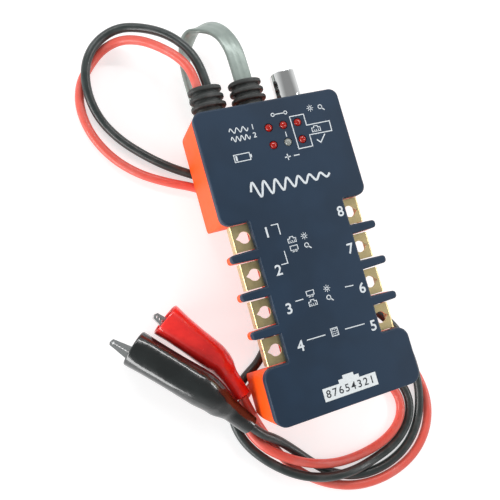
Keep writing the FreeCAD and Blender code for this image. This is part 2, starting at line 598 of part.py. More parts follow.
# ---- clips ----
def clip_axes(clip):
    """Origin at the sleeve's shoulder, X to the nose, Z up, Y to the side that the jaws lie on."""
    origin = Vector(*clip["shoulder"])
    x = (Vector(*clip["nose"]) - origin).normalize()
    y = Vector(0, 0, 1).cross(x).normalize()
    return FreeCAD.Placement(FreeCAD.Matrix(
        x.x, y.x, x.cross(y).x, origin.x, x.y, y.y, x.cross(y).y, origin.y,
        x.z, y.z, x.cross(y).z, origin.z, 0, 0, 0, 1))


def jaw_start(clip):
    """Where the jaws' finger end lies along the clip's X."""
    body = (Vector(*clip["nose"]) - Vector(*clip["shoulder"])).Length
    return body + clip["tip_proud"] - JAW_LEN


def placed(shape, clip):
    """Carry a shape from the jaws' own axes (X from the finger end) to its place."""
    shape.translate(Vector(jaw_start(clip), clip["jaw_side"], 0))
    shape.Placement = clip_axes(clip).multiply(shape.Placement)
    return shape


def jaw_blank(points, half):
    wire = Part.makePolygon([Vector(x, y, -half) for x, y in points + points[:1]])
    return Part.Face(wire).extrude(Vector(0, 0, 2 * half))


def jaw(side, half, tail):
    """Folded sheet jaw: a back strip and two side plates with teeth along the front."""
    s, n, p = side, JAW_LEN, JAW_BACK
    outside = [(0.4, s * tail), (p - 3, s * 3.0), (p + 2, s * 2.7), (n - 8, s * 2.4), (n - 0.6, s * 1.3),
               (n, s * 0.06), (p + 3, s * 0.06), (p - 4, s * 1.0), (0.4, s * (tail - 1.3))]
    inside = [(-1, s * (tail - SHEET)), (p - 3, s * (3.0 - SHEET)), (p + 2, s * (2.7 - SHEET)),
              (n - 8, s * (2.4 - SHEET)), (n - 1.5, s * 0.8), (n - 1.5, s * -1), (-1, s * -1)]
    blank = jaw_blank(outside, half)
    blank = blank.cut(jaw_blank(inside, half - SHEET))
    for i in range(8):
        x = n - 1.4 - TOOTH * i
        blank = blank.cut(jaw_blank([(x - 0.45, 0), (x + 0.45, 0), (x, s * 0.75)], half + 1))
    for z in (-1, 1):                                      # narrow towards the tip
        taper = Part.makePolygon([Vector(p + 5, -5, z * half), Vector(n + 1, -5, z * (half - 0.3)),
                                  Vector(n + 1, -5, z * (half + 1)), Vector(p + 5, -5, z * (half + 1)),
                                  Vector(p + 5, -5, z * half)])
        blank = blank.cut(Part.Face(taper).extrude(Vector(0, 10, 0)))
    ear = rod(2.1, (p, 0, -half), (p, 0, half)).cut(
        rod(3, (p, 0, -half + SHEET), (p, 0, half - SHEET)))
    blank = blank.fuse(ear)
    return blank.cut(rod(0.95, (p, 0, -9), (p, 0, 9)))


def clip_spring():
    """Torsion spring round the pivot, with its two arms."""
    p = JAW_BACK
    coil = rod(1.5, (p, 0, -1.1), (p, 0, 1.1)).cut(rod(1.02, (p, 0, -2), (p, 0, 2)))
    arm = rod(0.28, (p - 1.2, 0.6, -0.8), (p - 7.5, 1.2, -0.8))
    return coil.fuse(arm)


def sleeve_loft(stations):
    """Tube of cones through (centre, direction, radius) stations."""
    rings = [Part.Wire([Part.makeCircle(r, c, d)]) for c, d, r in stations]
    return Part.makeLoft(rings, True, True)


def clip_sleeve(clip):
    """Soft sleeve: a wide open nose, a round shoulder and a narrow neck for the lead."""
    nose, mid, tail = (Vector(*clip[k]) for k in ("nose", "shoulder", "tail"))
    ahead, behind = (nose - mid).normalize(), (mid - tail).normalize()
    lean = (ahead + behind).normalize()
    tail = tail + behind * TAIL_GAP
    body, neck = (nose - mid).Length, (mid - tail).Length
    narrow = neck * clip["neck_from"]
    between = (clip["top"] + clip["neck"]) / 2
    outside = [
        (nose, ahead, clip["mouth"]), (mid + ahead * body * 0.5, ahead, clip["middle"]),
        (mid + ahead * 1.5, ahead, clip["top"]), (mid - lean * 1.6, lean, clip["top"] - 0.5),
        (mid - behind * (1.6 + narrow) * 0.6, behind, between),
        (mid - behind * (1.6 + narrow), behind, clip["neck"] + 0.2), (tail, behind, clip["neck"]),
    ]
    wall = SLEEVE_WALL
    inside = [
        (nose + ahead, ahead, clip["mouth"] - wall),
        (mid + ahead * body * 0.5, ahead, clip["middle"] - wall),
        (mid + ahead * 1.5, ahead, clip["top"] - wall), (mid - lean * 1.4, lean, clip["top"] - 0.5 - wall),
        (mid - behind * (1.6 + narrow) * 0.55, behind, between - wall - 0.2),
    ]
    bore = rod(LEAD_D / 2 + 0.05, tuple(tail - behind * 1), tuple(mid - behind * (1.6 + narrow) * 0.5))
    return sleeve_loft(outside).cut(sleeve_loft(inside)).cut(bore)


def clip_crimp(clip):
    """Wire end inside the neck, and the crimp that holds it on the jaw."""
    mid, tail = Vector(*clip["shoulder"]), Vector(*clip["tail"])
    behind = (mid - tail).normalize()
    return rod(1.6, tuple(tail + behind * 1.1), tuple(tail + behind * ((mid - tail).Length * 0.8)))


def clip_parts(colour):
    clip = CLIPS[colour]
    half = 2.7
    return {
        f"{colour}_clip_fixed_jaw": placed(jaw(1, half, 2.4), clip),
        f"{colour}_clip_moving_jaw": placed(jaw(-1, half - 0.75, 3.6), clip),
        f"{colour}_clip_pivot": placed(rod(0.9, (JAW_BACK, 0, -3.0), (JAW_BACK, 0, 3.0)), clip),
        f"{colour}_clip_spring": placed(clip_spring(), clip),
        f"{colour}_clip_sleeve": clip_sleeve(clip),
        f"{colour}_clip_wire_end": clip_crimp(clip),
    }


def write(name, shape):
    solids = len(shape.Solids)
    state = "valid" if shape.isValid() else "NOT VALID"
    print(f"{name}: {state}, {solids} solid(s), {shape.Volume:.0f} mm3")
    shape.exportStep(f"parts/{name}.step")


def main():
    os.makedirs("parts", exist_ok=True)
    write("front_cover", front_cover())
    write("rear_cover", rear_cover())
    write("battery_door", battery_door())
    write("housing_screws", housing_screws())
    write("circuit_board", circuit_board())
    lamp_names = (("led_tone", "led_continuity", "led_blink_detect"),
                  ("led_low_battery", "led_polarity", "led_found"))
    for y, row in zip(LAMP_Y, lamp_names):
        for x, name in zip(LAMP_X, row):
            write(name, lamp(x, y))
    for number in range(1, 9):
        write(f"test_tab_{number}", test_tab(number))
    write("main_chip", main_chip())
    write("mode_button", mode_button())
    write("tactile_switch", tactile_switch())
    write("test_lead_boot", boot(LEAD_BOOT_X))
    write("modular_cord_boot", boot(CORD_BOOT_X))
    write("coax_jack_barrel", coax_jack_barrel())
    write("coax_jack_insulator", coax_jack_insulator())
    write("coax_jack_contact", coax_jack_contact())
    write("coax_jack_nut", coax_jack_nut())
    write("modular_jack_housing", modular_jack_housing())
    write("modular_jack_contacts", modular_jack_contacts())
    write("nine_volt_battery", nine_volt_battery())
    write("battery_snap_cap", battery_snap_cap())
    write("test_lead_black", tube(BLACK_ROUTE, LEAD_D, "test_lead_black"))
    write("test_lead_red", tube(RED_ROUTE, LEAD_D, "test_lead_red"))
    write("modular_cord", tube(CORD_ROUTE, CORD_D, "modular_cord"))
    write("modular_plug_body", modular_plug_body())
    write("modular_plug_contacts", modular_plug_contacts())
    write("modular_plug_latch", modular_plug_latch())
    for colour in CLIPS:
        for name, shape in clip_parts(colour).items():
            write(name, shape)


main()
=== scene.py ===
# %% [markdown]
# # A cable tone generator with two clip leads
#
# This lesson dresses a finished CAD model of a hand-held line tester. The housing, its contact
# tabs and its jacks come from the CAD frame and only get better materials. What a CAD solid
# can't show well is modelled here: the leads, the flat cord, the ribbed boots, the soft vinyl
# sleeves, the lamps and the print on the face.

# %% Load the frame
import json
import math

import bmesh
import bpy
import numpy as np
from mathutils import Matrix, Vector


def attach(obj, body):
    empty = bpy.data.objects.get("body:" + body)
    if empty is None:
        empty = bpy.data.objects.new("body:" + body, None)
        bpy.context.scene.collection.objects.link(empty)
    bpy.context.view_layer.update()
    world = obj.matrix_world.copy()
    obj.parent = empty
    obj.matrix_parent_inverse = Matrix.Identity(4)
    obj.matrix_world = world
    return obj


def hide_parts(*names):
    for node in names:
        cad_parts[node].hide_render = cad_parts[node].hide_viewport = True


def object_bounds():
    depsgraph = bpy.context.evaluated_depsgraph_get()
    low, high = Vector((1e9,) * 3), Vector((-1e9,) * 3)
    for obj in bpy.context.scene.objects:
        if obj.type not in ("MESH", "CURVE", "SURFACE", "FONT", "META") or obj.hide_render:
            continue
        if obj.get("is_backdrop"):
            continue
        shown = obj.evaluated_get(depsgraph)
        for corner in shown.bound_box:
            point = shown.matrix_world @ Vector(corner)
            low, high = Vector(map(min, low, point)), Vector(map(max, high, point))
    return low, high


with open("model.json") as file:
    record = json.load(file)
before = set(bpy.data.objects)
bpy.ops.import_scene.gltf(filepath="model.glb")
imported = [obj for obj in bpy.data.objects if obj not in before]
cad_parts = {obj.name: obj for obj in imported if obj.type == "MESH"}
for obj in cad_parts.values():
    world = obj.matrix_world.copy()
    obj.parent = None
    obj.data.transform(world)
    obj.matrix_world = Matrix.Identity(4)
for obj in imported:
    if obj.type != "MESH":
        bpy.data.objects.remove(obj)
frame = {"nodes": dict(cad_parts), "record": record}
cad_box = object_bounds()
MM = 0.001
HOUSING = "housing"
bpy.context.scene.view_settings.view_transform = "Standard"   # colours come out as they are mixed


# %% [markdown]
# ## The camera
#
# The tester lies on a table and is seen from almost straight above, turned by a quarter of a
# right angle. A camera is a place and three directions. Blender's camera looks along its own -Z
# with +Y up, so the directions fill the columns of its matrix.

# %% Camera
CAMERA_PLACE = np.array([-86.64, -16.90, 225.62]) * MM
CAMERA_RIGHT = (0.92765, -0.26852, 0.25954)
CAMERA_DOWN = (-0.23803, -0.96066, -0.14312)
CAMERA_AHEAD = (0.28776, 0.07098, -0.95507)
LENS = 43.2

lens = bpy.data.cameras.new("camera")
lens.lens = LENS
lens.clip_start = 0.01
camera = bpy.data.objects.new("camera", lens)
columns = np.eye(4)
columns[:3, 0] = CAMERA_RIGHT
columns[:3, 1] = -np.array(CAMERA_DOWN)
columns[:3, 2] = -np.array(CAMERA_AHEAD)
columns[:3, 3] = CAMERA_PLACE
camera.matrix_world = Matrix(columns.tolist())
bpy.context.scene.collection.objects.link(camera)
bpy.context.scene.camera = camera


# %% [markdown]
# ## Cords
#
# A test lead is a limp rubber-covered wire, and the modular cord is a flat ribbon. Both are
# drawn with one NURBS spline through control points. A NURBS line bends smoothly everywhere,
# which a chain of straight runs and arcs can't do. The same control points are the route of
# the CAD model's tubes.

# %% Routes, in millimetres, from the housing to the far end
TABLE = -18.05              # the surface that the leads lie on
LOW = -16.2                 # centre of a lead that lies on the table
FLAT = -16.7                # centre of the flat cord there
BLACK_ROUTE = [
    (-18.2, 66.5, 2.0), (-18.2, 74.5, 2.0), (-21.1, 84.5, 0.8), (-26.5, 93.0, -2.5),
    (-34.5, 99.5, -7.0), (-44.5, 103.2, -11.0), (-54.8, 98.6, -11.9), (-61.2, 89.8, -12.0),
    (-63.0, 79.0, -13.3), (-60.8, 68.5, LOW), (-55.2, 58.6, LOW), (-47.0, 50.1, LOW),
    (-38.2, 43.0, LOW), (-28.0, 37.0, LOW), (-16.0, 30.5, LOW), (-6.2, 21.0, LOW),
    (0.0, 9.0, LOW), (3.4, -4.0, LOW), (5.5, -15.0, -14.3), (8.2, -24.0, -11.9),
    (11.4, -33.5, -11.9), (15.8, -42.0, -15.9), (21.8, -51.0, LOW), (29.5, -60.5, LOW),
    (36.2, -70.6, LOW), (38.2, -80.0, LOW), (34.4, -88.7, LOW), (25.5, -95.2, LOW),
    (13.5, -98.0, -15.8), (1.5, -98.4, -12.4), (-10.5, -96.6, -11.8), (-21.5, -91.6, -11.8),
    (-31.0, -83.5, -13.1), (-37.5, -74.5, LOW), (-40.2, -64.5, LOW), (-38.0, -55.0, LOW),
    (-30.8, -48.8, LOW), (-23.6, -44.9, LOW), (-18.6, -39.6, LOW), (-14.2, -33.4, LOW),
    (-6.5, -29.0, LOW), (2.6, -27.2, LOW),
    (12.2, -26.6, LOW), (23.0, -29.5, LOW), (33.0, -37.0, -15.5), (39.4, -47.5, -12.4),
    (41.8, -58.0, -11.6), (42.4, -68.2, -11.9), (42.4, -79.2, -14.5), (38.8, -90.0, LOW),
    (30.2, -98.3, LOW), (18.0, -102.4, LOW), (5.0, -102.0, LOW), (-5.5, -97.2, LOW),
    (-13.0, -90.0, LOW), (-19.4, -82.1, -15.5), (-26.0, -75.1, -12.1), (-31.8, -71.1, -10.2),
    (-35.4, -66.0, -9.0),
]
RED_ROUTE = [
    (-22.2, 66.5, 2.0), (-22.2, 73.5, 2.0), (-25.6, 81.2, 1.0), (-31.5, 88.2, -2.0),
    (-37.5, 94.3, -6.5), (-44.6, 98.0, -11.5), (-52.4, 96.6, -15.0), (-59.0, 91.0, LOW),
    (-64.8, 83.6, LOW), (-67.2, 73.5, LOW), (-65.4, 62.0, LOW), (-59.7, 51.2, LOW),
    (-51.0, 42.6, LOW), (-40.2, 36.6, LOW), (-29.5, 32.2, LOW), (-18.8, 25.6, LOW),
    (-10.2, 16.8, LOW), (-4.8, 5.8, LOW), (-1.6, -6.5, LOW), (0.6, -17.5, -14.3),
    (3.4, -26.5, -11.9), (6.8, -35.5, -11.9), (11.2, -43.4, -15.9), (17.6, -53.0, LOW),
    (25.2, -62.9, LOW), (31.6, -71.0, LOW), (33.9, -79.6, LOW), (30.2, -87.4, LOW),
    (21.4, -92.4, LOW), (9.8, -94.4, LOW), (-3.0, -93.4, -13.8), (-14.5, -89.4, -11.8),
    (-24.4, -83.5, -11.8), (-32.3, -76.1, -12.8), (-35.8, -67.5, LOW), (-35.4, -58.8, LOW),
    (-29.4, -53.0, LOW), (-20.5, -50.0, LOW), (-11.5, -46.8, LOW), (-3.2, -41.6, LOW),
    (4.2, -36.0, LOW),
    (12.4, -32.0, LOW), (21.6, -35.0, LOW), (29.6, -42.0, LOW), (35.8, -51.5, LOW),
    (41.4, -61.5, LOW), (45.8, -72.5, LOW), (46.1, -84.5, LOW), (41.2, -95.0, LOW),
    (31.8, -102.8, LOW), (18.5, -106.6, LOW), (4.5, -106.0, LOW), (-7.5, -101.2, LOW),
    (-17.2, -94.0, LOW), (-24.2, -84.6, LOW), (-28.3, -74.6, -15.8), (-32.0, -64.6, -14.0),
    (-34.9, -54.6, -10.0),
]
CORD_ROUTE = [
    (-2.7, 66.5, 2.0), (-2.7, 74.0, 2.0), (-2.9, 82.5, 1.3), (-4.7, 90.5, -1.5),
    (-8.2, 96.0, -6.2), (-13.4, 97.0, -10.6), (-18.0, 93.0, -13.0), (-20.3, 84.6, -14.0),
    (-20.4, 74.5, -14.0), (-19.6, 64.0, -14.8), (-17.4, 53.0, FLAT), (-12.0, 42.5, FLAT),
    (-3.6, 33.0, FLAT), (5.0, 23.0, FLAT), (11.8, 12.5, -16.2), (15.4, 5.0, -14.5),
    (18.0, -1.5, -14.5),
]
LEAD_RADIUS = 1.85
RIBBON_WIDTH, RIBBON_THICK = 7.6, 2.4


# %% A NURBS curve through the control points of a route
def route_curve(name, route, radius=0.0):
    """Curve object: one open NURBS spline of order 3 that starts and ends on its end points."""
    curve = bpy.data.curves.new(name, "CURVE")
    curve.dimensions = "3D"
    curve.resolution_u = 10
    curve.bevel_depth = radius            # times each point's own radius of 1 mm
    curve.bevel_resolution = 6
    curve.use_fill_caps = True
    spline = curve.splines.new("NURBS")
    spline.points.add(len(route) - 1)
    homogeneous = np.ones((len(route), 4))
    homogeneous[:, :3] = np.array(route) * MM
    spline.points.foreach_set("co", homogeneous.ravel())
    spline.points.foreach_set("radius", np.full(len(route), MM))
    spline.order_u = 3
    spline.use_endpoint_u = True
    piece = bpy.data.objects.new(name, curve)
    bpy.context.scene.collection.objects.link(piece)
    return piece


def route_line(route):
    """The same line as an array of points, in millimetres."""
    piece = route_curve("line", route)
    mesh = bpy.data.meshes.new_from_object(piece)
    line = np.zeros(len(mesh.vertices) * 3)
    mesh.vertices.foreach_get("co", line)
    bpy.data.meshes.remove(mesh)
    bpy.data.objects.remove(piece)
    line = line.reshape(-1, 3) / MM
    return line[np.r_[True, np.linalg.norm(np.diff(line, axis=0), axis=1) > 1e-3]]


# %% The two test leads
leads = {
    "black": route_curve("black_test_lead", BLACK_ROUTE, LEAD_RADIUS),
    "red": route_curve("red_test_lead", RED_ROUTE, LEAD_RADIUS),
}
for colour, lead in leads.items():
    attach(lead, HOUSING)
    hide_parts(f"test_lead_{colour}")


# %% [markdown]
# ## Surfaces from arrays
#
# Every modelled piece below is a grid of points: rings along a path, or a profile turned round
# an axis. NumPy works out all the points at once, and this helper joins neighbours into quads.
# A closed shell knows its inside, so Blender can then turn all its faces outwards.

# %% Turn a grid of points into a mesh
def add_mesh(name, points, faces, sharp=40.0):
    """Mesh object from points in millimetres, its faces turned outwards and shaded smooth."""
    mesh = bpy.data.meshes.new(name)
    mesh.from_pydata((points * MM).tolist(), [], faces)
    shell = bmesh.new()
    shell.from_mesh(mesh)
    bmesh.ops.recalc_face_normals(shell, faces=shell.faces)
    shell.to_mesh(mesh)
    shell.free()
    mesh.polygons.foreach_set("use_smooth", np.ones(len(mesh.polygons), bool))
    mesh.set_sharp_from_angle(angle=math.radians(sharp))
    piece = bpy.data.objects.new(name, mesh)
    bpy.context.scene.collection.objects.link(piece)
    return piece


def tube_mesh(name, grid, sharp=40.0, looped=False):
    """Closed solid from a (rings, around, 3) grid: quads join neighbouring rings. The ends get
    one face each, or are joined to each other when the rings go round in a loop."""
    rings, around = grid.shape[:2]
    i, j = np.meshgrid(np.arange(rings if looped else rings - 1), np.arange(around), indexing="ij")
    ahead = (i + 1) % rings
    beside = (j + 1) % around
    quads = np.stack([i * around + j, i * around + beside, ahead * around + beside,
                      ahead * around + j], axis=-1).reshape(-1, 4).tolist()
    last = (rings - 1) * around
    ends = [] if looped else [list(range(around)), list(range(last, last + around))]
    return add_mesh(name, grid.reshape(-1, 3), quads + ends, sharp)


def unit(vectors):
    return vectors / np.linalg.norm(vectors, axis=-1, keepdims=True)


# %% [markdown]
# ## The flat cord
#
# A flat modular cord keeps its width level as it leaves the boot, then rolls on its side as it
# comes back under the housing. So the section, a rounded bar with a shallow groove along its
# middle, is carried along the path on two directions that roll with the distance travelled.

# %% Sweep the ribbon's section along its path
def ribbon_section(around):
    """Rounded bar: x follows a cosine made squarer, z a sine made squarer, less a groove."""
    turn = np.linspace(0, 2 * math.pi, around, endpoint=False)
    x = RIBBON_WIDTH / 2 * np.sign(np.cos(turn)) * np.abs(np.cos(turn)) ** 0.75
    z = RIBBON_THICK / 2 * np.sign(np.sin(turn)) * np.abs(np.sin(turn)) ** 0.45
    groove = 1 - 0.16 * np.exp(-(x / 0.45) ** 2) - 0.05 * np.exp(-((np.abs(x) - 2.2) / 0.9) ** 2)
    return x, z * groove


def ribbon(name, route, roll_degrees):
    """Ring at every point of the line; roll turns the width about the path."""
    line = route_line(route)
    ahead = unit(np.gradient(line, axis=0))
    level = np.array([1.0, 0.0, 0.0]) - ahead * ahead[:, :1]
    side = unit(level)
    face = np.cross(side, ahead)
    travelled = np.r_[0, np.cumsum(np.linalg.norm(np.diff(line, axis=0), axis=1))]
    roll = np.radians(np.interp(travelled, *roll_degrees))[:, None]
    width = side * np.cos(roll) + face * np.sin(roll)
    height = face * np.cos(roll) - side * np.sin(roll)
    x, z = ribbon_section(48)
    grid = line[:, None] + width[:, None] * x[None, :, None] + height[:, None] * z[None, :, None]
    return tube_mesh(name, grid), line


ROLL = ((0, 22, 36, 52, 74, 84, 160), (0, 0, 25, 52, 45, 0, 0))
flat_cord, flat_line = ribbon("flat_modular_cord", CORD_ROUTE, ROLL)
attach(flat_cord, HOUSING)
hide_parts("modular_cord")
print("flat cord:", round(float(np.linalg.norm(np.diff(flat_line, axis=0), axis=1).sum()), 1), "mm")


# %% [markdown]
# ## Vinyl sleeves of the clips
#
# Each alligator clip wears a soft vinyl sleeve, dipped in one piece: a wide mouth, a rounded
# shoulder over the finger end of the jaws, and a narrow neck round the lead. A lathe can't bend,
# so rings are carried along a bent path, with a radius and a slight flattening for each ring.

# %% Sleeve surface
CLIPS = {
    "black": {"nose": (-70.6, -24.8, -10.5), "shoulder": (-48.7, -48.3, -4.6),
              "tail": BLACK_ROUTE[-1], "radii": (7.4, 7.4, 7.2, 4.0), "narrow": 0.55, "crease": 0.5},
    "red": {"nose": (-56.4, -17.4, -10.6), "shoulder": (-40.1, -38.9, -10.7),
            "tail": RED_ROUTE[-1], "radii": (7.1, 6.4, 5.8, 3.5), "narrow": 0.38, "crease": 2.1},
}
WALL = 0.8
DEEP = 76                    # rings that the mouth's pocket reaches in, of 150


def bent_path(nose, shoulder, tail, steps):
    """Straight, a quadratic bend at the shoulder, and straight again; also each point's share
    of the way: 0 at the nose, 1 at the shoulder and 2 at the tail."""
    nose, shoulder, tail = (np.array(p, float) for p in (nose, shoulder, tail))
    along = np.linspace(0, 2, steps)
    sharp = np.where(along[:, None] < 1, nose + (shoulder - nose) * along[:, None],
                     shoulder + (tail - shoulder) * (along[:, None] - 1))
    start, end = 0.84, 1.22
    t = np.clip((along - start) / (end - start), 0, 1)[:, None]
    a = nose + (shoulder - nose) * start
    b = shoulder + (tail - shoulder) * (end - 1)
    curve = (1 - t) ** 2 * a + 2 * t * (1 - t) * shoulder + t ** 2 * b
    inside = (along > start) & (along < end)
    return np.where(inside[:, None], curve, sharp), along


def rings_along(path, radius, around):
    """Rings square to the path: radius times (cosine, sine) of the turn."""
    ahead = unit(np.gradient(path, axis=0))
    side = unit(np.cross(ahead, (0.0, 0.0, 1.0)))
    up = np.cross(side, ahead)
    turn = np.linspace(0, 2 * math.pi, around, endpoint=False)
    return (path[:, None] + side[:, None] * (radius * np.cos(turn))[..., None]
            + up[:, None] * (radius * np.sin(turn))[..., None])


def sleeve(name, clip):
    """Radius by share of the way, times a four-cornered stretch where the jaws fill the sleeve,
    and a few soft dents where it folds at its shoulder."""
    around, steps = 112, 150
    path, along = bent_path(clip["nose"], clip["shoulder"], clip["tail"], steps)
    mouth, middle, top, neck = clip["radii"]
    full = 1 + clip["narrow"]
    radius = np.interp(along, (0, 0.03, 0.5, 0.93, 1.03, 1 + clip["narrow"] * 0.6, full, 1.9, 2.0),
                       (mouth - 0.1, mouth, middle, top, top - 0.4, (top + neck) / 2, neck + 0.15,
                        neck, neck - 0.15))
    radius = np.convolve(np.pad(radius, 3, mode="edge"), np.ones(7) / 7, mode="valid")[:, None]
    turn = np.linspace(0, 2 * math.pi, around, endpoint=False)[None]
    along = along[:, None]
    filled = np.clip((1.05 - along) / 0.5, 0, 1) * np.clip(along / 0.3 + 0.35, 0, 1)
    corners = 0.034 * filled * -np.cos(4 * turn + 0.25)
    dent = 0.05 * np.exp(-((along - full + 0.26) / 0.10) ** 2) * np.cos(3 * turn + clip["crease"])
    dent += 0.04 * np.exp(-((along - full) / 0.08) ** 2) * np.cos(2 * turn + 3 * clip["crease"])
    dent += 0.012 * np.sin(7 * along + clip["crease"]) * np.cos(2 * turn + 2 * along)
    stretch = 1 + corners + dent - 0.03 * filled
    outside = rings_along(path, radius * stretch, around)
    inside = rings_along(path[:DEEP], radius[:DEEP] * stretch[:DEEP] - WALL, around)
    lip = (outside[:1] + inside[:1]) / 2 + (path[0] - path[1]) * 0.8
    return tube_mesh(name, np.concatenate([inside[::-1], lip, outside]), 60)


sleeves = {}
for colour, clip in CLIPS.items():
    sleeves[colour] = sleeve(f"{colour}_vinyl_sleeve", clip)
    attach(sleeves[colour], HOUSING)
    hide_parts(f"{colour}_clip_sleeve")


# %% [markdown]


# %% [markdown]
# ## Ribbed boots
#
# The leads and the flat cord leave the head through moulded rubber boots. A boot is a stack of
# oval discs on an oval core. Its surface is one profile along the boot, how far it stands out at
# each height, carried round an oval.

# %% Boots
BOOT_Z = 2.0
BOOT_START, BOOT_END = 53.9, 66.5
RIB_MIDDLES = (55.0, 58.65, 62.1, 65.5)
RIB_GROWTH = (0.55, 0.3, 0.12, 0.0)
RIB_HALF = 0.98
CORE_X, CORE_Z, RIB_X, RIB_Z = 5.4, 3.8, 6.9, 4.95


def boot(name, x, node):
    """Half-width and half-height are the core's, plus each rib's rounded step."""
    y = np.r_[BOOT_START, np.linspace(BOOT_START, BOOT_END, 150), BOOT_END, BOOT_END, BOOT_END - 1.0,
              BOOT_END - 1.4]
    step = np.zeros_like(y)
    grow = np.zeros_like(y)
    for middle, extra in zip(RIB_MIDDLES, RIB_GROWTH):
        inside = np.clip(1 - np.abs((y - middle) / RIB_HALF) ** 4, 0, 1) ** 0.35
        step = np.maximum(step, inside)
        grow = np.where(inside > 0, extra, grow)
    wide = CORE_X + (RIB_X + grow - CORE_X) * step
    tall = CORE_Z + (RIB_Z + grow - CORE_Z) * step
    wide[0], tall[0] = 0.3, 0.3
    wide[-4:], tall[-4:] = (5.6, 5.0, 4.7, 0.3), (3.7, 3.1, 2.8, 0.3)
    turn = np.linspace(0, 2 * math.pi, 88, endpoint=False)
    cosine, sine = np.cos(turn), np.sin(turn)
    squarer = 0.86
    grid = np.stack([
        x + wide[:, None] * np.sign(cosine) * np.abs(cosine) ** squarer,
        np.broadcast_to(y[:, None], (len(y), len(turn))),
        BOOT_Z + tall[:, None] * np.sign(sine) * np.abs(sine) ** squarer,
    ], axis=-1)
    piece = tube_mesh(name, grid, 50)
    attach(piece, HOUSING)
    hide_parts(node)
    return piece


boots = [boot("lead_boot_ribbed", -19.8, "test_lead_boot"),
         boot("cord_boot_ribbed", -2.7, "modular_cord_boot")]


# %% [markdown]
# ## Turned pieces
#
# The coax jack's barrel and the lamps are round about an axis. A lathe surface is a profile of
# (distance from the axis, height) points turned round it. Small steps in the profile give the
# rounded lip that catches the light.

# %% Lathe
def lathe(name, profile, centre, axis, around=96, sharp=35, looped=False):
    """Ring for every (radius, height) of the profile, round an axis through the centre."""
    radius, height = np.array(profile, float).T
    turn = np.linspace(0, 2 * math.pi, around, endpoint=False)
    axis = np.array(axis, float)
    side = unit(np.cross(axis, (1.0, 0.2, 0.1)))
    other = np.cross(axis, side)
    circle = np.cos(turn)[:, None] * side + np.sin(turn)[:, None] * other
    grid = np.array(centre) + height[:, None, None] * axis + radius[:, None, None] * circle[None]
    return tube_mesh(name, grid, sharp, looped)


def quarter(radius, height, size, start, end, steps=6):
    """Points of a quarter round of that size about (radius, height), between two angles."""
    turn = np.radians(np.linspace(start, end, steps))
    return list(zip(radius + size * np.cos(turn), height + size * np.sin(turn)))


# %% Coax jack barrel: its profile is a loop, up the outside and down the bore
COAX = (14.5, 54.0, 2.0)
barrel_profile = (
    [(4.9, -6.0), (5.6, -6.0), (5.6, 0.02)] + quarter(5.6, 0.22, 0.2, 270, 360)
    + quarter(5.3, 12.5, 0.5, 0, 90) + quarter(5.1, 12.8, 0.2, 90, 180) + [(4.9, 12.0)]
)
barrel_shell = lathe("polished_coax_barrel", barrel_profile, COAX, (0, 1, 0), looped=True)
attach(barrel_shell, HOUSING)
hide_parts("coax_jack_barrel")

# %% Lamps: a flanged lens with a domed top and a dark cup that shows through it
LAMPS = {
    "led_tone": (-2.1, 42.9), "led_continuity": (4.05, 42.9), "led_blink_detect": (10.2, 42.9),
    "led_low_battery": (-2.1, 35.9), "led_polarity": (4.05, 35.9), "led_found": (10.2, 35.9),
}
LAMP_BASE, LAMP_TOP, LAMP_R = 8.9, 14.2, 1.5
lens_profile = (
    [(0.05, 0.0), (1.8, 0.0), (1.85, 0.05), (1.85, 0.95), (1.5, 1.0)]
    + quarter(0.0, LAMP_TOP - LAMP_BASE - LAMP_R, LAMP_R, 0, 88, 16)
)
cup_profile = [(0.05, 1.2), (0.75, 1.2), (0.95, 3.1), (0.85, 3.25), (0.35, 2.6), (0.05, 2.6)]
lamp_lenses, lamp_cups = {}, []
for node, (x, y) in LAMPS.items():
    lens_piece = lathe(f"{node}_lens", lens_profile, (x, y, LAMP_BASE), (0, 0, 1), 48, 50)
    cup = lathe(f"{node}_cup", cup_profile, (x, y, LAMP_BASE), (0, 0, 1), 32)
    for piece in (lens_piece, cup):
        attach(piece, HOUSING)
    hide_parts(node)
    lamp_lenses[node] = lens_piece
    lamp_cups.append(cup)


# %% [markdown]
# ## Print on the face
#
# The legend is pad-printed in pale ink. Numbers come from Blender's own font, turned into a
# mesh. Signs and frames are strokes: a thin box along each run. The words of the original
# are replaced by plain signs: a wave for a tone, plus and minus for polarity, a cell for the
# battery, a socket for the network and a tick for a find.

# %% Strokes and numbers
INK = (13.18, 13.235)        # bottom and top of the ink on the face
INK_ON_PATCH = (13.225, 13.265)


